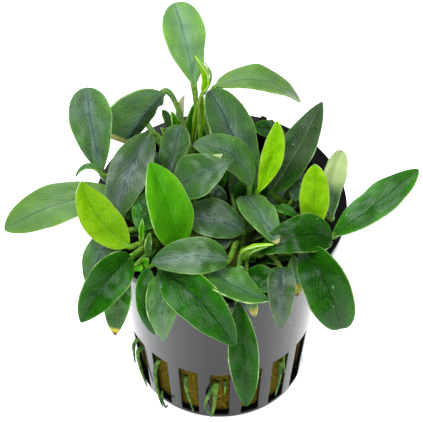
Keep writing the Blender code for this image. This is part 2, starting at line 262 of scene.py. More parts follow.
def leaf_pattern(tree):
    """The measures that all leaf finishes share: along, across, side veins, mottle and grain."""
    place = add(tree, "UVMap", uv_map="UVMap")
    parts = add(tree, "SeparateXYZ", {0: place.outputs["UV"]})
    along = parts.outputs["X"]
    centred = maths(tree, "MULTIPLY_ADD", parts.outputs["Y"], 2.0, -1.0)
    across = maths(tree, "ABSOLUTE", centred)
    sweep = maths(tree, "MULTIPLY_ADD", maths(tree, "POWER", across, VEIN_BEND), -VEIN_SWEEP, along)
    mottle = own_pattern(tree, "TexNoise", MOTTLE_MM, Detail=3.0)
    wander = maths(tree, "MULTIPLY_ADD", mottle, WANDER, sweep)
    veins = maths(tree, "SINE", maths(tree, "MULTIPLY", wander, VEINS * 2 * math.pi))
    grain = own_pattern(tree, "TexNoise", GRAIN_MM, Detail=2.0)
    vein_way = add(tree, "CombineXYZ", {"X": wander, "Y": centred})
    drawn_out = add(tree, "Mapping", {"Vector": vein_way.outputs[0], "Scale": (STREAKS, STREAKS / 12, 1.0)})
    streaks = add(tree, "TexNoise", {"Vector": drawn_out.outputs[0], "Scale": 1.0, "Detail": 3.0})
    fine = add(tree, "Mix", {0: STREAK_SHARE, 2: grain, 3: streaks.outputs[0]}, data_type="FLOAT")
    return along, across, veins, mottle, fine.outputs[0]


# %% Helpers for colour and relief
def shaded(tree, colour):
    """The colour made lighter or darker by the leaf's own shade, which its mesh carries: partly the leaf's own
    tone, partly painted light and shade.
    """
    shade = add(tree, "Attribute", attribute_name="shade").outputs["Fac"]
    return add(tree, "VectorMath", {0: colour, "Scale": shade}, operation="SCALE").outputs[0]


def graded(tree, value, low, high, to_low=0.0, to_high=1.0):
    """A value read smoothly between two limits."""
    return add(tree, "MapRange", {0: value, 1: low, 2: high, 3: to_low, 4: to_high},
               interpolation_type="SMOOTHSTEP").outputs[0]


def blend(tree, share, below, above):
    """Two colours laid over each other by a share."""
    return add(tree, "Mix", {0: share, 6: below, 7: above}, data_type="RGBA").outputs[2]


def layered(tree, colour, layers):
    """Hex colours laid over a colour, each by a value that is read smoothly between limits."""
    for value, limits, hex_colour in layers:
        colour = blend(tree, graded(tree, value, *limits), colour, linear(hex_colour))
    return colour


def coat(tree, shader, colour, height=None, strength=0.0, depth=0.0):
    """Gives a shader its colour and, from a height, a relief that is so many millimetres deep."""
    tree.links.new(colour, shader.inputs["Base Color"])
    if height:
        bump = add(tree, "Bump", {"Height": height, "Strength": strength, "Distance": depth * MM})
        tree.links.new(bump.outputs["Normal"], shader.inputs["Normal"])


# %% The skins of a leaf
def leaf_upper(name, tone, fades_from=None, faded=None, browns_from=None, fades_over=None):
    """The waxed upper side of a blade. An old one fades and then browns from shares of its length."""
    blade, margin, middle, midrib, roughness, gloss = tone
    finish, tree, shader = new_finish(name, IOR=1.48, Specular_IOR_Level=gloss)
    along, across, veins, mottle, fine = leaf_pattern(tree)
    edge = maths(tree, "MULTIPLY_ADD", mottle, 0.5, across)
    centre = maths(tree, "MULTIPLY_ADD", mottle, 0.35, across)
    colour = layered(tree, linear(blade), (
        (edge, (0.55, 1.4), margin),
        # painted sheen: the greyer or paler middle colour along the midrib stands for the wax's reflection
        (centre, (0.15, 0.75, 0.9, 0.0), middle),
        (veins, (-0.2, 1.0, 0.0, 0.2), margin),
        (fine, (0.5, 0.66, 0.0, 0.7), margin),
        (fine, (0.36, 0.5, 0.65, 0.0), midrib),
        (mottle, (0.3, 0.65, 0.45, 0.0), midrib),
        (across, (0.015, 0.075, 0.9, 0.0), midrib),
        # a pale line at the margin: partly the margin's own colour, partly a painted highlight
        (across, (0.95, 0.99, 0.0, 0.5), "a8cc6c"),
    ))
    if fades_from is not None:
        ragged = maths(tree, "MULTIPLY_ADD", mottle, WANDER, along)
        spotted = maths(tree, "MULTIPLY_ADD", fine, 0.06, ragged)
        colour = layered(tree, colour, (
            (spotted, (fades_from, fades_from + fades_over), faded),
            (spotted, (browns_from, browns_from + 0.04), "785a30"),
        ))
    # pale specks: partly dust, partly painted glints on droplets
    specks = graded(tree, own_pattern(tree, "TexVoronoi", SPECK_MM), 0.05, 0.09, 1.0, 0.0)
    dust_and_glints = maths(tree, "MULTIPLY", specks, graded(tree, mottle, 0.55, 0.6))
    colour = blend(tree, dust_and_glints, shaded(tree, colour), linear("c8d4b8"))
    wax = graded(tree, fine, 0.35, 0.65, roughness - 0.08, roughness + 0.12)
    tree.links.new(wax, shader.inputs["Roughness"])
    ribs = maths(tree, "MULTIPLY", veins, graded(tree, across, 0.1, 0.9, 0.5, 0.1))
    coat(tree, shader, colour, maths(tree, "MULTIPLY_ADD", ribs, 0.25, fine), 0.8, 0.12)
    return finish


def leaf_under(name, tone):
    """The underside: paler, matt, with no wax, and its side veins stand out."""
    blade, margin, middle = tone[:3]
    finish, tree, shader = new_finish(name, Roughness=0.6, IOR=1.42)
    _, _, veins, mottle, _ = leaf_pattern(tree)
    colour = layered(tree, blend(tree, 0.5, linear(margin), linear("a9c08a")), (
        (veins, (0.0, 1.0, 0.0, 0.35), blade),
        (mottle, (0.3, 0.7, 0.3, 0.0), middle),
    ))
    coat(tree, shader, shaded(tree, colour), veins, 0.3, 0.08)
    return finish


def leaf_margin(name, tone):
    """The margin is a thin rib without much green; its pale line is partly its own colour and partly a painted
    highlight.
    """
    finish, tree, shader = new_finish(name, Roughness=0.4, IOR=1.45)
    mottle = own_pattern(tree, "TexNoise", 2, Detail=2.0)
    coat(tree, shader, layered(tree, linear(tone[1]), [(mottle, (0.4, 0.7), "bcd884")]))
    return finish


def stalk_skin(name, tone):
    """The stalk is smooth, yellow-green, streaked along its length, and as dark as its blade in places."""
    finish, tree, shader = new_finish(name, Roughness=0.4, IOR=1.45, Coat_Weight=0.1)
    spot = add(tree, "TexCoord").outputs["Object"]
    upright = add(tree, "Mapping", {"Vector": spot, "Scale": (1.0, 1.0, 0.12)}).outputs[0]
    streaks = add(tree, "TexNoise", {"Vector": upright, "Scale": 1 / (0.4 * MM), "Detail": 2.0}).outputs[0]
    coat(tree, shader, layered(tree, linear("4c7c14"), (
        (streaks, (0.35, 0.65), "84ac3c"),
        (own_pattern(tree, "TexNoise", 6, Detail=1.0), (0.4, 0.65, 0.6, 0.0), tone[0]),
    )))
    return finish


# %% Make the leaf finishes
SKINS = {"leaf_wax": leaf_upper, "leaf_under": leaf_under, "leaf_margin": leaf_margin, "stalk": stalk_skin}
leaf_skins = {}
for name, tone in LEAF_TONES.items():
    leaf_skins[name] = [make(f"{skin}_{name}", tone) for skin, make in SKINS.items()]

MOTTLE_MIDDLE = 0.11  # the shift that mottle and grain give on average
OLD_TONES = {
    # name: tone before it aged, fades from, faded colour, browns from, fades over, as shares of the length
    "fading": ("deep", 0.8, "c8bc2c", 0.9, 0.08),
    "scorched": ("mid", 0.5, "a8a23c", 0.82, 0.16),
    "dry_edge": ("grey", 0.86, "a8a460", 0.94, 0.04),
    "bleached": ("grey", 0.34, "b0c480", 0.94, 0.3),
}
for name, (green, fades_from, faded, browns_from, fades_over) in OLD_TONES.items():
    upper = leaf_upper(f"leaf_wax_{name}", LEAF_TONES[green], fades_from + MOTTLE_MIDDLE, faded,
                       browns_from + MOTTLE_MIDDLE, fades_over)
    leaf_skins[name] = [upper] + leaf_skins[green][1:]
print("leaf finishes:", ", ".join(leaf_skins))

# %% [markdown]
# ## One flat blade
#
# All blades are alike before they bend: an egg-shaped outline drawn out to a point, fuller near the base or
# near the tip. A grid is a good start, because its rows can be drawn in one by one to that outline and its UV
# map stays in step with the leaf. Nine outlines are enough for the whole plant.

# %% Model the flat blades
ROWS = 44
COLUMNS = 20
OUTLINES = {
    # name: how slowly it widens from the base, how slowly it narrows to the tip
    "pointed": (0.62, 0.8),
    "rounded": (0.62, 0.5),
    "even": (0.75, 0.72),
    "lens": (0.95, 0.85),
    "spoon": (0.92, 0.5),
    "blunt": (0.55, 0.2),
    "broad": (0.42, 0.7),
    "long_tip": (0.72, 1.05),
    "drawn_out": (0.8, 1.4),
}


def half_width(share, outline):
    """Half the width at a share of the blade's length, 1 at the widest place."""
    opens, closes = OUTLINES[outline]
    widest = opens / (opens + closes)
    return (share / widest) ** opens * ((1 - share) / (1 - widest)) ** closes


def row_share(row):
    """Rows lie closer together near the base and the tip, where the outline turns."""
    even = row / ROWS
    return 0.5 * even + 0.5 * (1 - math.cos(math.pi * even)) / 2


def model_flat_blade(outline):
    bpy.ops.object.select_all(action="DESELECT")
    bpy.ops.mesh.primitive_grid_add(x_subdivisions=ROWS, y_subdivisions=COLUMNS, size=2, calc_uvs=True)
    blade = bpy.context.object
    bpy.ops.object.mode_set(mode="EDIT")
    bm = bmesh.from_edit_mesh(blade.data)
    for row in range(ROWS + 1):
        x = 2 * row / ROWS - 1
        bpy.ops.mesh.select_all(action="DESELECT")
        for vert in bm.verts:
            vert.select = abs(vert.co.x - x) < 0.5 / ROWS
        bm.select_flush_mode()
        width = half_width(row_share(row), outline)
        bpy.ops.transform.resize(value=(1, width, 1), center_override=(x, 0, 0))
    bpy.ops.object.mode_set(mode="OBJECT")
    return blade


flat_blades = {outline: model_flat_blade(outline) for outline in OUTLINES}
for blade in flat_blades.values():
    print("flat blade:", len(blade.data.vertices), "vertices")

# %% [markdown]
# ## The leaves' places
#
# A leaf is steered by three points on its blade's midrib and by the place on the creeping stem that its stalk
# leaves. Most are the solids' own values. Where the photograph shows a blade turned, folded or lying over its
# neighbour, they are off by a few millimetres.

# %% The leaves' places
UP = (0, 0, 1)
TO_FRONT = (0, -1, 0.6)
UPWARD_BIAS = 1.0  # 0 for a stalk that leaves its stem straight towards the blade, more for one that rises
GAP = 0.35         # from the stem's skin to where the solid's stalk begins
STALK_DEPTH = 0.6  # where in the stem a stalk begins, as a share of the stem's radius
FIRST_HANDLE, LAST_HANDLE = 0.4, 0.15  # how far a stalk's two handles reach, as shares of its length

RHIZOMES = {
    "left": ((-1, 1, 42.9), (-8, -4, 43), (-13, -9.5, 46.5), (-17, -14, 51.5)),
    "front": ((6.5, 8, 42.9), (5.5, 0, 42.9), (4.5, -9, 45.5), (4, -16.5, 50.5)),
    "back": ((-4, 6.5, 42.9), (-5, 11, 44.5), (-6.5, 16.5, 50)),
    "middle": ((-1, -7, 42.9), (-6, -12, 44.5), (-11, -16, 50)),
    "right": ((10.5, -11, 42.9), (13, 0, 43), (17, 8, 47)),
}
RHIZOME_RADII = {"left": 2.3, "front": 2.3, "back": 2.2, "middle": 2.1, "right": 2.0}


class Leaf(NamedTuple):
    """One leaf, stalk and blade. Places are in millimetres."""

    rhizome: str
    along: float        # the stalk's place on the rhizome, from 0 to 1
    base: tuple
    middle: tuple
    tip: tuple
    width: float
    tone: str = "mid"
    outline: str = "pointed"
    # shade: partly the leaf's own tone, partly painted light and shade
    shade: float = 1.0  # lighter above 1, darker below
    face: tuple = UP
    fold: float = 12.0  # degrees that each half rises from flat
    lift: float = 0.0   # how far the stalk arches above its straight way
    wave: float = 0.35  # height of the margin's waves


LEAVES = {
    # number: stem, share along it, base, middle, tip, width, tone, outline, shade
    # Tall leaves at the back
    1: Leaf("back", 0.96, (-5.5, 17, 71), (-7.5, 22.5, 79), (-10, 27.5, 86), 9.6, "soft", "spoon", 1.15),
    2: Leaf("back", 0.66, (-4, 12.5, 74), (-2.5, 13, 79), (-5.5, 12.5, 85), 2.4, "lime",
        face=(-1, -0.5, 0.3), fold=45),
    3: Leaf("back", 0.82, (-1, 17.5, 71), (9.5, 18, 71.5), (17.5, 18, 65), 8.6, "fresh", shade=0.85,
        face=(0, 0.1, 1)),
    26: Leaf("front", 0.18, (6.5, 1.5, 56), (2.5, 7.5, 66), (-2.5, 13, 74), 10.6, "grey", "rounded", 1.1),
    27: Leaf("back", 0.08, (-11.5, 3, 55), (-10, 5.5, 62.5), (-8.5, 8.5, 68), 6.6, "grey", "spoon", 1.05),
    # Left side, from the back to the front
    4: Leaf("left", 0.2, (-25.5, 2, 59.5), (-27.5, 7.5, 68), (-28.5, 13, 75), 9.2, "grey", "spoon", 1.3),
    5: Leaf("back", 0.28, (-12.1, 14, 72), (-16.3, 12, 67.3), (-20.5, 10.5, 60), 14, "dry_edge", "blunt",
        1.45, face=(0.587, -0.782, 0.204), fold=-30),
    6: Leaf("left", 0.12, (-15, 8, 66), (-19.9, -2.5, 63.5), (-22, -9, 57), 8.6, "grey", shade=0.7),
    7: Leaf("left", 0.46, (-22.5, -1.5, 58), (-36, -5, 57), (-46.5, -6.5, 51), 9.0, "fresh", "even", 0.9,
        face=(0, -0.45, 1)),
    8: Leaf("left", 0.79, (-19.5, -14.5, 55), (-26, -10.5, 60), (-29.5, -6, 66), 8.2, "lime", shade=0.7),
    9: Leaf("left", 0.31, (-25.5, 0.5, 62), (-28.5, 0.5, 63.5), (-31, 0, 61), 1.4, fold=30, lift=2.5),
    11: Leaf("left", 0.92, (-19, -17.3, 54.7), (-24.5, -24, 53.7), (-29.5, -28, 46), 8.4, "dark",
        shade=0.87, face=(0.1, -0.9, 0.9), fold=20, lift=0.4),
    12: Leaf("left", 0.7, (-20, -11, 56), (-25, -14.5, 53.5), (-28, -19, 46.5), 7.0, "grey", "even", 1.35),
    13: Leaf("left", 1.0, (-20, -20.5, 53), (-22, -23.5, 47), (-22.5, -26, 39), 6.0, "fading",
        face=(-0.4, -1, 0.3), fold=5),
    # Centre
    10: Leaf("middle", 0.55, (-9, -14, 53), (-11.5, -9.5, 62.5), (-15, -5, 71), 10.4, "bright", shade=1.05),
    28: Leaf("front", 0.32, (6.4, -0.7, 58.5), (2.3, 2.2, 65.5), (-6, 2.5, 68), 7.2, "mid", "even", 0.75,
        face=(0, -0.6, 1)),
    29: Leaf("left", 0.0, (-5, 0, 64), (-2.5, -1, 66.5), (0.5, 0.5, 67.5), 2.6, "bleached"),
    30: Leaf("left", 0.4, (-10, -3, 61), (-3.5, -3.5, 66), (2.6, -1.5, 67.8), 9.6, "mid", "drawn_out", 0.7,
        face=(0, -0.5, 1)),
    31: Leaf("front", 0.67, (5, -8, 52), (-1.5, -7, 55), (-8, -5, 54), 8.6, "grey", "even", 1.05,
        face=(0, -0.4, 1)),
    32: Leaf("front", 0.55, (5.5, -0.5, 55), (8.5, -10.8, 60.1), (12, -17.6, 59.2), 7.0, "dry_edge",
        "broad", 1.2),
    35: Leaf("left", 0.63, (-16.6, -11.6, 56.6), (-15.3, -7.8, 59.2), (-13.5, -4, 62), 6.4, "deep",
        lift=0.7),
    36: Leaf("left", 0.55, (-15.5, -5, 52), (-16.5, -3, 57), (-17.5, 0, 60), 5.5, "grey"),
    # Front, over the rim
    14: Leaf("front", 0.8, (1.5, -20.5, 57.2), (-5, -21.5, 60), (-14.5, -21.5, 57.8), 8.0, "silver", "even",
        0.85, face=(0, -0.5, 1)),
    15: Leaf("middle", 0.72, (-13, -19.9, 54), (-4.6, -28.6, 54), (3.2, -33.6, 45), 9.8, "dark", shade=0.95,
        face=(-0.13, -0.8, 0.8), fold=16),
    16: Leaf("middle", 0.3, (-2, -19.4, 54.3), (2.5, -25.4, 54.9), (10.5, -26.5, 51.5), 10.4, "mid",
        "long_tip", 0.95),
    17: Leaf("front", 1.0, (3.5, -28, 53), (4.8, -34, 43.2), (5.5, -39.2, 31.5), 6.4, "dark", "even", 0.75,
        face=TO_FRONT, fold=18),
    37: Leaf("middle", 1.0, (-15.4, -19.8, 54), (-15.6, -26, 50.5), (-14.1, -28, 42), 4.6, "dark",
        face=TO_FRONT),
    38: Leaf("middle", 0.94, (-12.8, -21.5, 53.8), (-12.4, -28.3, 51.3), (-12.1, -30, 42), 6.8, "mid",
        "long_tip", 0.85, face=(0.25, -1, 0.6), fold=10),
    40: Leaf("front", 0.9, (4.5, -18.5, 56.5), (6, -19.5, 60), (11, -20, 62), 1.7, "lime", face=(0, 0.6, 1),
        fold=30, wave=0.1),
    # Right side, from the front to the back
    18: Leaf("front", 0.85, (12.7, -20.5, 55), (12.7, -26, 53.5), (12.7, -28, 44), 6.0, "grey", "broad",
        0.65, face=TO_FRONT),
    19: Leaf("right", 0.17, (17.5, -15.5, 55.2), (22, -24.5, 54.5), (25.5, -28, 44), 9.8, "dark", "rounded",
        0.75, face=TO_FRONT, fold=24),
    20: Leaf("front", 0.95, (8, -17.5, 55.7), (15.5, -16, 60), (23.5, -13, 55.8), 8.2, "dark", "spoon",
        0.65, face=(0, -0.4, 1), fold=18, wave=1.2),
    21: Leaf("right", 0.3, (24, -10.5, 54), (33.2, -6.5, 59.4), (42.5, 2, 61), 7.8, "deep", "even", 1.05,
        lift=2),
    22: Leaf("right", 0.8, (11, 2, 54), (16.5, 7, 61.5), (22, 14.5, 69), 8.2, "ribbed", shade=0.45),
    23: Leaf("right", 0.6, (8, 0.5, 55), (11, 3.5, 63.5), (12, 6, 72), 4.8, "lime", "lens", 1.2, fold=20),
    24: Leaf("right", 0.5, (19.5, -8.5, 50.5), (20, -4.5, 59.5), (20, -1, 66), 6.4, "lime", "even", 0.95,
        face=TO_FRONT),
    25: Leaf("right", 0.9, (24, -6, 54), (24, -1.5, 60.5), (26, 3, 66), 4.8, "bleached", "spoon",
        face=TO_FRONT, fold=30, lift=2),
    33: Leaf("right", 0.38, (11.5, -1, 52), (14, -3.5, 54), (17, -5, 53), 2.6, "deep"),
    34: Leaf("right", 0.72, (15.5, 0.5, 53), (17, 1.5, 55), (18.5, 2.8, 57), 4.0, "grey"),
    39: Leaf("right", 0.02, (15.5, -16, 53.3), (15.8, -22, 53.2), (16, -25, 51), 3.4, "scorched"),
    # Hidden behind, over the back of the rim
    41: Leaf("back", 0.48, (-2, 26, 54.5), (1, 33, 50), (3.5, 38, 40), 8.0),
    42: Leaf("back", 0.55, (-17, 22, 55), (-22.5, 26.5, 50.5), (-27, 29, 43), 7.4, "deep"),
    43: Leaf("right", 1.0, (17, 18, 55.8), (20, 24.5, 52.3), (20, 28, 42), 7.0, "deep"),
}


def square_to(vector, direction):
    """The part of a vector that is square to a direction, one long."""
    return (vector - vector.dot(direction) * direction).normalized()


def smooth_path(points, t):
    """A point on the smooth curve through points, from 0 at the first to 1 at the last."""
    spans = len(points) - 1
    k = min(int(t * spans), spans - 1)
    u = t * spans - k
    p1, p2 = Vector(points[k]), Vector(points[k + 1])
    p0 = Vector(points[k - 1]) if k > 0 else 2 * p1 - p2
    p3 = Vector(points[k + 2]) if k + 2 <= spans else 2 * p2 - p1
    return 0.5 * (2 * p1 + (p2 - p0) * u + (2 * p0 - 5 * p1 + 4 * p2 - p3) * u * u
                  + (3 * p1 - p0 - 3 * p2 + p3) * u ** 3)


def path_direction(points, t, step=0.01):
    ahead = smooth_path(points, min(1.0, t + step))
    behind = smooth_path(points, max(0.0, t - step))
    return (ahead - behind).normalized()


def rhizome_radius(name, t):
    """Full in the middle, narrower at the cut end and at the growing tip."""
    return RHIZOME_RADII[name] * min(1.0, 0.62 + 3.0 * t, 0.45 + 3.5 * (1 - t))


def blade_handle(leaf):
    """The point that pulls the blade's curve through its middle."""
    return 2 * Vector(leaf.middle) - (Vector(leaf.base) + Vector(leaf.tip)) / 2


def stalk_line(leaf):
    """Four points that steer the stalk: on the rhizome, two handles, and the blade's base."""
    points = RHIZOMES[leaf.rhizome]
    axis, along = smooth_path(points, leaf.along), path_direction(points, leaf.along)
    base = Vector(leaf.base)
    outward = square_to((base - axis).normalized() + UPWARD_BIAS * Vector(UP), along)
    root = axis + outward * (rhizome_radius(leaf.rhizome, leaf.along) + GAP)
    length = (base - root).length
    into_blade = (blade_handle(leaf) - base).normalized()
    rise = Vector((0, 0, 2 * leaf.lift))
    start = axis + outward * STALK_DEPTH * rhizome_radius(leaf.rhizome, leaf.along)
    above_root = root + outward * FIRST_HANDLE * length + rise
    return start, above_root, base - into_blade * LAST_HANDLE * length, base


def curve_point(handles, t):
    """A point on the curve that a list of handles steers, and its direction there."""
    points = list(handles)
    while len(points) > 2:
        points = [a.lerp(b, t) for a, b in zip(points, points[1:])]
    return points[0].lerp(points[1], t), (points[1] - points[0]).normalized()


print("leaves:", len(LEAVES))

# %% [markdown]
# ## From a flat blade to a living one
#
# A real blade is never flat: it arches over its midrib, its halves rise from the midrib like a shallow
# trough and round over towards the margin, and the margin ripples. A Curve modifier can bend a strip, but it
# would not hold each blade's own facing, so the rows are laid along the midrib here, one frame of directions
# for each row. Solidify then gives the blade its third of a millimetre, with the underside and the margin as
# materials of their own.

# %% Lay a blade along its midrib
BLADE_THICKNESS = 0.35
TROUGH_ROUNDING = 0.09  # how soft the fold is at the midrib, as a share of half the width
ARCH = 0.10             # how far each half rounds over, as a share of half the width
RIPPLES, SWAYS = 2.3, 1.1  # short and long waves along a margin
RIPPLE_SHARE, SWAY_SHARE = 0.6, 0.4
PUCKER = 0.5            # height of the shallow lumps between the side veins, in millimetres
PUCKERS = (6, 2.2)      # how many lumps there are along and across a blade
FULL_WIDTH = 6.0        # blades narrower than this, in millimetres, have lower waves and lumps


def blade_frames(leaf):
    """Centre, side and normal of every row, from base to tip.

    The facing is set at the tip, as in the solids.
    """
    steer = (Vector(leaf.base), blade_handle(leaf), Vector(leaf.tip))
    normal = Vector(leaf.face)
    frames = []
    for row in range(ROWS, -1, -1):
        centre, way = curve_point(steer, row_share(row))
        normal = square_to(normal, way)
        frames.append((centre, way.cross(normal), normal))
    return frames[::-1]


def lay_blade(name, leaf):
    """A copy of the flat blade, bent onto this leaf's midrib."""
    chance = random.Random(name)
    phases = [chance.uniform(0, 2 * math.pi) for _ in range(4)]
    mesh = flat_blades[leaf.outline].data.copy()
    blade = bpy.data.objects.new(name, mesh)
    bpy.context.scene.collection.objects.link(blade)
    frames = blade_frames(leaf)
    rise = math.tan(math.radians(leaf.fold))
    for vert in mesh.vertices:
        row = round((vert.co.x + 1) / 2 * ROWS)
        share = row_share(row)
        reach = max(half_width(share, leaf.outline), 1e-6)
        across = max(-1.0, min(1.0, vert.co.y / reach))
        centre, side, normal = frames[row]
        half = reach * leaf.width / 2
        out = abs(across)
        side_of = 0 if across < 0 else 1
        ripple = math.sin(2 * math.pi * RIPPLES * share + phases[side_of])
        sway = math.sin(2 * math.pi * SWAYS * share + phases[2 + side_of])
        trough = rise * (math.hypot(out, TROUGH_ROUNDING) - TROUGH_ROUNDING)
        arch = ARCH * (out - out * out)
        fade = math.sin(math.pi * min(1.0, share * 1.05))
        pucker = PUCKER * fade * noise.noise(Vector((PUCKERS[0] * share, PUCKERS[1] * across, phases[0])))
        margin_wave = leaf.wave * fade * out ** 1.6 * (RIPPLE_SHARE * ripple + SWAY_SHARE * sway)
        height = half * (trough + arch) + min(1.0, leaf.width / FULL_WIDTH) * (pucker + margin_wave)
        width = half * (1 + 0.02 * ripple * fade)
        vert.co = (centre + side * across * width + normal * height) * MM
    solid = blade.modifiers.new("thickness", "SOLIDIFY")
    solid.thickness = BLADE_THICKNESS * MM
    solid.offset = 0.0
    solid.material_offset = 1
    solid.material_offset_rim = 2
    for skin in leaf_skins[leaf.tone]:
        mesh.materials.append(skin)
    shade = mesh.attributes.new("shade", "FLOAT", "POINT")
    shade.data.foreach_set("value", [leaf.shade] * len(mesh.vertices))
    merge_and_face_out(blade)
    if blade_faces_down(blade, leaf):
        bpy.ops.object.mode_set(mode="EDIT")
        bpy.ops.mesh.flip_normals()
        bpy.ops.object.mode_set(mode="OBJECT")
    apply_modifiers(blade)
    return blade


def blade_faces_down(blade, leaf):
    """True where an open blade's faces look to its underside."""
    up = blade_frames(leaf)[ROWS // 2][2]
    looks = sum((face.normal * face.area for face in blade.data.polygons), Vector())
    return looks.dot(up) < 0


# %% [markdown]
# ## The stalk and the midrib
#
# The stalk and the midrib are one strand: it leaves the creeping stem with a wide sheath, thins out, swells
# again in a knee just under the blade, and runs on below the blade as a rib that ends near the tip. A bezier
# curve with a round bevel is how one draws such a strand by hand: three points, a radius at each cut, and it
# is turned into a mesh.

# %% Draw the stalk and the midrib
STALK_RADII = (1.05, 0.82, 0.68, 0.62, 0.62, 0.78)
MIDRIB_RADII = (0.52, 0.40, 0.30, 0.20, 0.08)
STRAND_CUTS = 4
SLIMMEST, SLIM_WIDTH = 0.45, 14  # a narrow blade's stalk is thinner: this share, plus its width over that
BELOW_BASE, BELOW_MIDDLE, BELOW_TIP = 0.5, 0.6, 0.1  # how far the rib's axis runs under the blade


def strand(name, points, radii, cuts, finish, sides=3, steps=4):
    """A round strand: a bezier through (point, left handle, right handle) with a radius after every cut."""
    bpy.ops.curve.primitive_bezier_curve_add(location=(0, 0, 0))
    curve = bpy.context.object
    spline = curve.data.splines[0]
    spline.bezier_points.add(len(points) - len(spline.bezier_points))
    for knot, (place, left, right) in zip(spline.bezier_points, points):
        knot.handle_left_type = knot.handle_right_type = "FREE"
        knot.co, knot.handle_left, knot.handle_right = place * MM, left * MM, right * MM
    if cuts:
        bpy.ops.object.mode_set(mode="EDIT")
        bpy.ops.curve.select_all(action="SELECT")
        bpy.ops.curve.subdivide(number_cuts=cuts)
        bpy.ops.object.mode_set(mode="OBJECT")
    for knot, radius in zip(curve.data.splines[0].bezier_points, radii):
        knot.radius = radius
    curve.data.bevel_depth = MM
    curve.data.bevel_resolution = sides
    curve.data.resolution_u = steps
    curve.data.use_fill_caps = True
    bpy.ops.object.convert(target="MESH")
    made = bpy.context.object
    made.name = name
    made.data.materials.clear()
    made.data.materials.append(finish)
    merge_and_face_out(made)
    bpy.ops.object.shade_smooth()
    return made


def draw_strand(name, leaf):
    start, out_of_stem, into_base, base = stalk_line(leaf)
    handle, tip = blade_handle(leaf), Vector(leaf.tip)
    frames = blade_frames(leaf)
    below_base, below_tip = frames[0][2] * -BELOW_BASE, frames[ROWS][2] * -BELOW_TIP
    first = base + (handle - base) * 2 / 3
    last = tip + (handle - tip) * 2 / 3
    sink = frames[ROWS // 2][2] * -BELOW_MIDDLE
    points = [
        (start, start, out_of_stem),
        (base + below_base, into_base + below_base, first + sink),
        (tip + below_tip, last + sink, tip + below_tip),
    ]
    slim = min(1.0, SLIMMEST + leaf.width / SLIM_WIDTH)
    radii = [radius * slim for radius in STALK_RADII + MIDRIB_RADII]
    return strand(f"{name}_strand", points, radii, STRAND_CUTS, leaf_skins[leaf.tone][3])


# %% Make every leaf
def join(parts):
    """Joins parts into the first one."""
    bpy.ops.object.select_all(action="DESELECT")
    for part in parts:
        part.select_set(True)
    bpy.context.view_layer.objects.active = parts[0]
    bpy.ops.object.join()
    return parts[0]


def make_leaf(name, leaf):
    blade = lay_blade(name, leaf)
    select_only(blade)
    bpy.ops.object.shade_smooth_by_angle(angle=math.radians(50))
    return join([blade, draw_strand(name, leaf)])


for number, leaf in LEAVES.items():
    name = f"leaf_{number:02d}"
    hand_over(make_leaf(name, leaf), f"{name}_blade", [name])

# %% [markdown]
# ## Shoots, sheaths and small leaves
#
# Between the grown leaves stand rolled shoots, the sheaths that they came out of, and small leaves that never
# reached the light. They are made as the others are. The shoots and sheaths have places of their own; the
# small leaves are set round the plug by the golden angle, so that no two lie the same way.

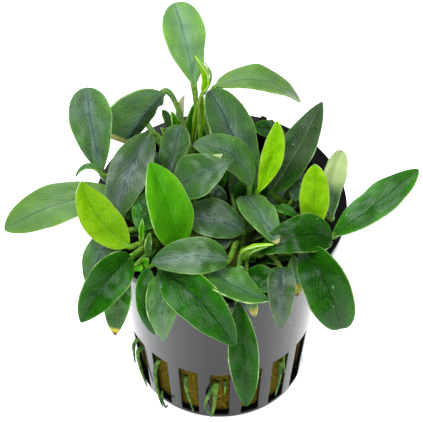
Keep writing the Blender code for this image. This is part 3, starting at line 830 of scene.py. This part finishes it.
# %% Make the shoots and sheaths
SHOOTS = {
    "shoot_1": Leaf("back", 0.3, (-9.3, 11.5, 56), (-9.8, 12.5, 62), (-10.6, 14, 66.5), 2.4, "bright",
        fold=50),
    "shoot_2": Leaf("back", 0.25, (-11.2, 11.5, 56), (-11.8, 11.6, 60), (-13, 12, 63.5), 2.8, "fading",
        fold=40),
    "shoot_3": Leaf("back", 0.35, (-10.6, 12.5, 60), (-11.6, 13.5, 65), (-12.6, 13, 67.8), 1.8,
        face=(0, -1, 0.5)),
    "shoot_4": Leaf("left", 0.9, (-15.2, -16.2, 53.6), (-15.3, -15, 56.2), (-14.9, -13.8, 58.6), 1.5,
        face=TO_FRONT, fold=45),
    "shoot_5": Leaf("left", 0.95, (-16.8, -14.6, 56.6), (-16.7, -13.6, 59), (-16.5, -12.6, 61.6), 1.1,
        "bright", face=TO_FRONT, fold=45),
    "knob_1": Leaf("left", 0.97, (-18.2, -16.2, 53), (-19, -16.8, 54), (-19.6, -17.2, 54.6), 2.2, "bright",
        "blunt", face=(-0.5, -1, 0.6), fold=10),
    "knob_2": Leaf("left", 0.98, (-16.4, -17.4, 52.6), (-15.8, -18, 53.6), (-15.2, -18.4, 54), 2.2,
        "bright", "blunt", face=TO_FRONT, fold=10),
    "knob_3": Leaf("left", 0.99, (-17.4, -17.6, 52.4), (-17.5, -18.6, 53), (-17.6, -19.6, 52.8), 2.2,
        "bright", "blunt", face=TO_FRONT, fold=10),
    "shoot_6": Leaf("front", 0.85, (5, -17.5, 54.5), (7, -17.5, 57), (10, -17.5, 58.5), 2.0, "bright",
        fold=40),
    "low_leaf": Leaf("front", 0.93, (5.5, -21, 53.2), (9, -23, 54.2), (13, -24, 53), 5.6, "dark",
        shade=0.85, face=(0, -0.8, 1)),
    "rim_leaf": Leaf("back", 0.9, (7.5, 22.3, 52.6), (11.2, 20.8, 53), (15.4, 17.4, 52.2), 3.8, "dark",
        face=(0, -0.5, 1)),
    "dried_sheath": Leaf("back", 0.6, (-8.3, 13.5, 61), (-8.8, 14.5, 66), (-7.8, 15.5, 70), 1.6, "dried",
        face=(0, -1, 0.3), fold=40),
    "sheath_1": Leaf("back", 0.75, (-5.2, 13, 56), (-4.7, 12.8, 65), (-3.9, 12.4, 74), 2.6, "lime",
        face=TO_FRONT, fold=35),
    "sheath_3": Leaf("back", 0.7, (-7.2, 14.5, 55), (-6.6, 14.8, 61), (-5.9, 14.6, 68), 2.4, "bright",
        face=TO_FRONT, fold=35),
    "sheath_2": Leaf("back", 0.55, (-4.3, 12, 54), (-4.2, 12.4, 60), (-4.6, 12.5, 65), 2.8, face=TO_FRONT,
        fold=35),
    "brown_tip": Leaf("front", 0.97, (5.6, -26.6, 53.6), (6.6, -28.4, 52), (7.2, -28.6, 48.6), 2.2,
        "scorched", face=TO_FRONT),
    "grey_tip": Leaf("front", 0.3, (1, 2, 50), (-1.5, 3, 53), (-4.6, 3.4, 52.2), 3.2, "grey",
        face=(0, -0.5, 1)),
}

for name, leaf in SHOOTS.items():
    hand_over(make_leaf(name, leaf), name)

# %% Make the small leaves round the plug
SMALL_LEAVES = 42
GOLDEN_ANGLE = math.radians(137.5)
PLUG_HEIGHT = 41.0
NEAREST, SPREAD = 3, 13  # millimetres from the pot's axis, and from there outwards

chance = random.Random(7)
for k in range(SMALL_LEAVES):
    turn = k * GOLDEN_ANGLE
    away = Vector((math.cos(turn), math.sin(turn), 0))
    near = NEAREST + SPREAD * math.sqrt(k / SMALL_LEAVES)
    reach, rise = chance.uniform(5, 8), chance.uniform(7, 11)
    base = away * near + Vector((0, 0, PLUG_HEIGHT + 2))
    middle = base + away * reach * 0.45 + Vector((0, 0, rise * 0.65))
    tip = base + away * reach + Vector((0, 0, rise * chance.uniform(0.75, 1)))
    stem = min(RHIZOMES, key=lambda name: min((Vector(knot) - base).length for knot in RHIZOMES[name]))
    # a shade below 1 darkens the small leaves as painted shade of the plant's inside
    leaf = Leaf(stem, chance.uniform(0.15, 0.7), tuple(base), tuple(middle), tuple(tip),
                chance.uniform(3.2, 5), ("deep", "dark", "grey")[k % 3], shade=chance.uniform(0.6, 1.0))
    name = f"small_leaf_{k + 1:02d}"
    hand_over(make_leaf(name, leaf), name)
for blade in flat_blades.values():
    bpy.data.objects.remove(blade)

# %% [markdown]
# ## The pot
#
# The pot is moulded in one go: a thin cone with a flat floor, a flange at the top and a lip turned down from
# it. Its outside is drawn ring by ring, as a modeller would: a circle is extruded, lifted and scaled to each
# corner of the profile. The faces of the slots are deleted, Solidify grows the wall inwards, and a small
# bevel takes the sharpness off the edges.

# %% The pot's finish
def pot_plastic():
    """Black polypropylene, injection moulded: satin, with fine spark texture, light scuffs and dust.

    The indices of refraction are lower than the plastic's 1.49. They stand for its satin skin, which mirrors
    little where it is looked at straight and much at the sides.
    """
    finish, tree, shader = new_finish(
        "polypropylene_black_moulded", Roughness=0.2, IOR=1.2, Coat_Weight=1.0, Coat_IOR=1.22,
        Coat_Roughness=0.1, Sheen_Weight=0.1, Sheen_Roughness=0.1, Sheen_Tint=linear("ffffff"))
    texture = own_pattern(tree, "TexNoise", 0.45, Detail=3.0)
    clouds = own_pattern(tree, "TexNoise", 9, Detail=3.0)
    specks = own_pattern(tree, "TexVoronoi", 3.2)
    coat(tree, shader, layered(tree, blend(tree, clouds, linear("060708"), linear("0c0d0e")), (
        (texture, (0.5, 0.8, 0.0, 0.3), "1c1d1e"),
        (specks, (0.03, 0.055, 0.8, 0.0), "c8c4b4"),
    )), texture, 0.15, 0.05)
    return finish


# %% Model the pot
POT_SIDES = 180
POT_WALL = 0.9
EDGE_BEVEL = 0.14
RIM_RADIUS = 27.5
NECK_RADIUS = 24.4
BASE_RADIUS = 19.4
RIM_HEIGHT = 52.0
CORNER, LIP = 0.8, 2.0  # the slanted corner at the floor, and how far the lip hangs down
SLOTS = 18
SLOT_HALF_ANGLE = 6.0
SLOT_BOTTOM, SLOT_TOP = 1.8, 18.6
FLOOR_SLOT_RADII = (8.0, 15.5)


def wall_radius(z):
    """Outer radius of the pot's wall at a height."""
    return BASE_RADIUS + (NECK_RADIUS - BASE_RADIUS) * z / (RIM_HEIGHT - 1.0)


UNDER_FLANGE = RIM_HEIGHT - POT_WALL
POT_PROFILE = (
    (FLOOR_SLOT_RADII[1], 0),
    (BASE_RADIUS - CORNER, 0),
    (wall_radius(CORNER), CORNER),
    (wall_radius(SLOT_BOTTOM), SLOT_BOTTOM),
    (wall_radius(SLOT_TOP), SLOT_TOP),
    (NECK_RADIUS, UNDER_FLANGE),
    (RIM_RADIUS - POT_WALL, UNDER_FLANGE),
    (RIM_RADIUS - POT_WALL, RIM_HEIGHT - LIP),
)


def in_a_slot(place):
    """True for a point in the angle of a slot. The first slot faces the front."""
    turn = math.degrees(math.atan2(place.y, place.x)) + 90
    step = 360 / SLOTS
    return abs((turn + step / 2) % step - step / 2) < SLOT_HALF_ANGLE


def is_cut_out(face):
    """True for a face that lies in a slot of the wall or of the floor."""
    place = face.calc_center_median() / MM
    radius = math.hypot(place.x, place.y)
    in_wall = SLOT_BOTTOM < place.z < SLOT_TOP
    in_floor = place.z < 0.1 and FLOOR_SLOT_RADII[0] < radius < FLOOR_SLOT_RADII[1]
    return (in_wall or in_floor) and in_a_slot(place)


def model_pot():
    bpy.ops.mesh.primitive_circle_add(vertices=POT_SIDES, radius=FLOOR_SLOT_RADII[0] * MM, fill_type="TRIFAN")
    pot = bpy.context.object
    bpy.ops.object.mode_set(mode="EDIT")
    bm = bmesh.from_edit_mesh(pot.data)
    bpy.ops.mesh.select_mode(type="EDGE")
    bpy.ops.mesh.select_all(action="DESELECT")
    for edge in bm.edges:
        edge.select = edge.is_boundary
    radius, height = FLOOR_SLOT_RADII[0], 0
    for new_radius, new_height in POT_PROFILE:
        lift = (0, 0, (new_height - height) * MM)
        bpy.ops.mesh.extrude_edges_move(TRANSFORM_OT_translate={"value": lift})
        grow = new_radius / radius
        bpy.ops.transform.resize(value=(grow, grow, 1), center_override=(0, 0, new_height * MM))
        radius, height = new_radius, new_height
    bpy.ops.mesh.select_all(action="SELECT")
    bpy.ops.mesh.normals_make_consistent(inside=False)
    bm = bmesh.from_edit_mesh(pot.data)
    if sum(face.normal.xy.dot(face.calc_center_median().xy) * face.calc_area() for face in bm.faces) < 0:
        bpy.ops.mesh.flip_normals()
    bpy.ops.mesh.select_mode(type="FACE")
    bpy.ops.mesh.select_all(action="DESELECT")
    bm = bmesh.from_edit_mesh(pot.data)
    for face in bm.faces:
        face.select = is_cut_out(face)
    bpy.ops.mesh.delete(type="FACE")
    bpy.ops.object.mode_set(mode="OBJECT")
    wall = pot.modifiers.new("wall", "SOLIDIFY")
    wall.thickness = POT_WALL * MM
    wall.offset = -1.0
    wall.use_even_offset = True
    edge = pot.modifiers.new("edges", "BEVEL")
    edge.width = EDGE_BEVEL * MM
    edge.segments = 2
    edge.limit_method = "ANGLE"
    edge.angle_limit = math.radians(40)
    apply_modifiers(pot)
    bpy.ops.object.shade_smooth_by_angle(angle=math.radians(35))
    even = pot.modifiers.new("even_normals", "WEIGHTED_NORMAL")
    even.keep_sharp = True
    apply_modifiers(pot)
    pot.data.materials.append(pot_plastic())
    return pot


hand_over(model_pot(), "moulded_pot", ["pot"])

# %% [markdown]
# ## The mineral wool
#
# The plug is a brown felt of mineral fibres. It shows in the slots, set back behind the wall, as a golden
# grain with dark pits, partly painted shade, and it is painted darker near its top. A cone with the pot's
# taper is cut finely and roughened by a Displace modifier on a clouds texture.

# %% Model the wool
WOOL_LOW, WOOL_TOP = 1.6, 40.2
WOOL_SIDES = 168
WOOL_CUTS = 50
WOOL_INSET = 1.45  # from the wall's outside to the wool
END_RINGS, RING_STEP = 9, 2.2
LUMP_SIZE, LUMP_HEIGHT = 0.5, 0.4


def wool_finish():
    """Mineral wool with a binder: spun brown fibres, matt, light where they stand up and dark in the pits,
    partly their own colour and partly painted shade.
    """
    finish, tree, shader = new_finish("mineral_wool_felt", Roughness=0.95, IOR=1.4, Specular_IOR_Level=0.1)
    grains = own_pattern(tree, "TexNoise", 0.36, Detail=3.0, Roughness=0.7)
    height = add(tree, "SeparateXYZ", {0: add(tree, "TexCoord").outputs["Object"]}).outputs["Z"]
    coat(tree, shader, layered(tree, linear("221c00"), (
        (grains, (0.38, 0.66), "947f1c"),
        (own_pattern(tree, "TexNoise", 3.5, Detail=2.0), (0.35, 0.7, 0.0, 0.5), "52460a"),
        # painted shade: the top of the plug is darker, as the leaves and the rim shade it
        (height, ((WOOL_TOP - 9) * MM, (WOOL_TOP - 2) * MM, 0.0, 0.85), "1e1c0a"),
    )), grains, 0.8, 0.3)
    return finish


def model_wool():
    low, high = wall_radius(WOOL_LOW) - WOOL_INSET, wall_radius(WOOL_TOP) - WOOL_INSET
    tall = WOOL_TOP - WOOL_LOW
    bpy.ops.mesh.primitive_cone_add(vertices=WOOL_SIDES, radius1=low * MM, radius2=high * MM, depth=tall * MM,
                                    location=(0, 0, (WOOL_LOW + tall / 2) * MM), end_fill_type="NGON")
    wool = bpy.context.object
    bpy.ops.object.transform_apply(location=True, rotation=False, scale=False)
    bpy.ops.object.mode_set(mode="EDIT")
    bm = bmesh.from_edit_mesh(wool.data)
    ends = [face for face in bm.faces if len(face.verts) > 4]
    bpy.ops.mesh.select_all(action="DESELECT")
    for face in ends:
        face.select = True
    for _ in range(END_RINGS):
        bpy.ops.mesh.inset(thickness=RING_STEP * MM, depth=0)
    bpy.ops.mesh.select_all(action="DESELECT")
    bm = bmesh.from_edit_mesh(wool.data)
    for edge in bm.edges:
        edge.select = abs(edge.verts[0].co.z - edge.verts[1].co.z) > 0.5 * tall * MM
    bpy.ops.mesh.subdivide_edgering(number_cuts=WOOL_CUTS)
    bpy.ops.object.mode_set(mode="OBJECT")
    clouds = bpy.data.textures.new("wool_clouds", "CLOUDS")
    clouds.noise_scale = LUMP_SIZE * MM
    clouds.noise_depth = 3
    rough = wool.modifiers.new("rough", "DISPLACE")
    rough.texture = clouds
    rough.texture_coords = "LOCAL"
    rough.strength = LUMP_HEIGHT * MM
    rough.mid_level = 0.55
    apply_modifiers(wool)
    bpy.ops.object.shade_smooth()
    wool.data.materials.append(wool_finish())
    return wool


hand_over(model_wool(), "wool_plug", ["mineral_wool"])

# %% [markdown]
# ## The creeping stems
#
# An anubias grows from a thick green stem that creeps over the ground, ringed by the scars of old leaves. A
# bevelled bezier, its handles laid along the stem's line, follows that line, and its rings are then pinched and
# swollen in turn to make the scars.

# %% Model the creeping stems
def patchy_skin(name, size, detail, low, high, limits, strength, depth, **sockets):
    """Living skin in two colours, patch by patch, with a relief that follows the patches."""
    finish, tree, shader = new_finish(name, **sockets)
    patches = own_pattern(tree, "TexNoise", size, Detail=detail)
    coat(tree, shader, layered(tree, linear(low), [(patches, limits, high)]), patches, strength, depth)
    return finish


SCAR_SPACING = 2.6
STEM_RINGS = 48
# Green bark with brown corky patches where leaves have dropped
bark = patchy_skin("rhizome_bark", 2.2, 4.0, "3c5c14", "4c4418", (0.35, 0.65), 0.5, 0.2,
                   Roughness=0.55, IOR=1.45)


def draw_along(name, points, radius, steps, finish, sides=3):
    """A round strand along a smooth path, with its radius given by a function of 0 to 1."""
    knots = []
    for k in range(steps + 1):
        t = k / steps
        place, way = smooth_path(points, t), path_direction(points, t)
        reach = (Vector(points[-1]) - Vector(points[0])).length / steps / 3
        knots.append((place, place - way * reach, place + way * reach))
    radii = [radius(k / steps) for k in range(steps + 1)]
    return strand(name, knots, radii, 0, finish, sides=sides, steps=2)


for name, points in RHIZOMES.items():
    length = sum((Vector(b) - Vector(a)).length for a, b in zip(points, points[1:]))
    scars = length / SCAR_SPACING

    def scarred(t, name=name, scars=scars):
        ring = abs(math.sin(math.pi * t * scars))
        return rhizome_radius(name, t) * (0.92 + 0.1 * ring ** 0.4)

    stem = draw_along(f"stem_{name}", points, scarred, STEM_RINGS, bark, sides=5)
    hand_over(stem, f"creeping_stem_{name}", [f"rhizome_{name}"])

# %% [markdown]
# ## The roots
#
# Roots have found their way out of the wool and hang from the slots, green where they get light. Each is a
# bevelled curve along its solid's line, a little uneven in thickness.

# %% Model the roots
ROOTS = {
    # (degrees round from the front, distance off the wall, height)
    "root_1": ((-57, -0.6, 16), (-59, 0.9, 14), (-58, 1.1, 8), (-54, 1.0, 2.5)),
    "root_2": ((-63, -0.6, 17), (-64, 0.9, 14.5), (-64, 1.4, 8)),
    "root_3": ((-42, -0.6, 16.5), (-43, 0.8, 13), (-43, 0.9, 5), (-38, 1.8, 1.2)),
    "root_4": ((-22, -0.6, 15.5), (-21, 0.6, 12), (-17.5, 0.6, 3)),
    "root_5": ((-2, -0.6, 15), (-6, 1.0, 12.5), (-9, 1.4, 8), (-5.5, 0.9, 2.2)),
    "root_6": ((41.5, -0.6, 16), (39, 0.7, 12), (37.5, 0.8, 5)),
}
ROOT_RADIUS = 0.5
ROOT_RINGS, FINE_ROOT_RINGS = 16, 14


def round_the_pot(places):
    """Turns (degrees from the front, distance off the wall, height) into points."""
    points = []
    for degrees, off, z in places:
        turn = math.radians(degrees - 90)
        radius = wall_radius(z) + off
        points.append(Vector((radius * math.cos(turn), radius * math.sin(turn), z)))
    return points


# Fleshy young roots, green where the light reaches them and yellower between
root_finish = patchy_skin("root_skin_green", 1.8, 3.0, "1e5008", "608c1c", (0.35, 0.68), 0.4, 0.15,
                          Roughness=0.6, IOR=1.35)
for name, places in ROOTS.items():
    def uneven(t, name=name):
        knots = noise.noise(Vector((12 * t, len(name), sum(map(ord, name)))))
        return ROOT_RADIUS * (1 - 0.7 * t * t) * (1 + 0.25 * knots)

    root = draw_along(name, round_the_pot(places), uneven, ROOT_RINGS, root_finish)
    hand_over(root, f"{name}_skin", [name])

# %% Model the fine roots
FINE_ROOTS = {
    # (degrees round from the front, distance off the wall, height), then the radius
    "loop_root": (((-2, -0.5, 15.2), (-3.2, 0.9, 12), (-3.6, 1.2, 8), (-5.5, 0.9, 2.6)), 0.65),
    "short_root": (((3.2, -0.9, 15), (3.1, -0.4, 13), (3.0, -0.4, 10.6)), 0.35),
    "curled_root": (((-41, 0.2, 5), (-39, 1.2, 3), (-36, 1.6, 1.4), (-34.5, 1.5, 2.4)), 0.3),
    "right_root": (((45, -0.9, 17), (44, -0.2, 14), (44.5, 0.3, 11.5)), 0.35),
    "back_root_1": (((140, -0.6, 16), (141, 0.8, 12), (139, 1.0, 4)), 0.42),
    "back_root_2": (((-160, -0.6, 15), (-161, 0.7, 10), (-158, 0.9, 3)), 0.42),
}

for name, (places, thick) in FINE_ROOTS.items():
    def thinning(t, thick=thick):
        return thick * (1 - 0.45 * t)

    root = draw_along(name, round_the_pot(places), thinning, FINE_ROOT_RINGS, root_finish)
    hand_over(root, name)

# %% [markdown]
# ## Crumbs
#
# Crumbs of wool and of old bark lie on the rim and on the plug. An icosphere is squeezed and its corners are
# pushed in and out by noise, so that no two crumbs are alike.

# %% Model the crumbs
CRUMBS = (
    # (place, size in millimetres)
    ((9.6, 25.2, 52.4), 1.3),
    ((11.4, 24.6, 52.3), 0.8),
    ((16.6, -22.6, 52.3), 1.1),
    ((17.6, -21.6, 52.2), 0.7),
    ((-12.5, -23.2, 52.2), 0.6),
    ((-2, 13, 41.4), 1.4),
    ((12, 11, 41.2), 1.2),
    ((4, -6, 41.4), 1.5),
    ((-8, 15, 41.2), 1.0),
    ((18, -2, 41.2), 1.1),
)
CRUMB_SQUEEZE = (1.3, 0.9, 0.55)
DENT_DEPTH, DENTS = 0.45, 2.5  # as a share of the radius, and how many to a millimetre


def model_crumb(place, size, seed):
    bpy.ops.mesh.primitive_ico_sphere_add(subdivisions=3, radius=size / 2 * MM, location=Vector(place) * MM)
    crumb = bpy.context.object
    bpy.ops.object.transform_apply(location=True, rotation=False, scale=False)
    bpy.ops.object.mode_set(mode="EDIT")
    bpy.ops.transform.resize(value=CRUMB_SQUEEZE, center_override=Vector(place) * MM)
    bpy.ops.object.mode_set(mode="OBJECT")
    centre = Vector(place) * MM
    for vert in crumb.data.vertices:
        out = vert.co - centre
        vert.co = centre + out * (1 + DENT_DEPTH * noise.noise(out / MM * DENTS + Vector((seed, 0, 0))))
    bpy.ops.object.shade_smooth()
    crumb.data.materials.append(bpy.data.materials["rhizome_bark" if seed % 3 else "mineral_wool_felt"])
    return crumb


crumbs = join([model_crumb(place, size, k) for k, (place, size) in enumerate(CRUMBS)])
hand_over(crumbs, "crumbs")
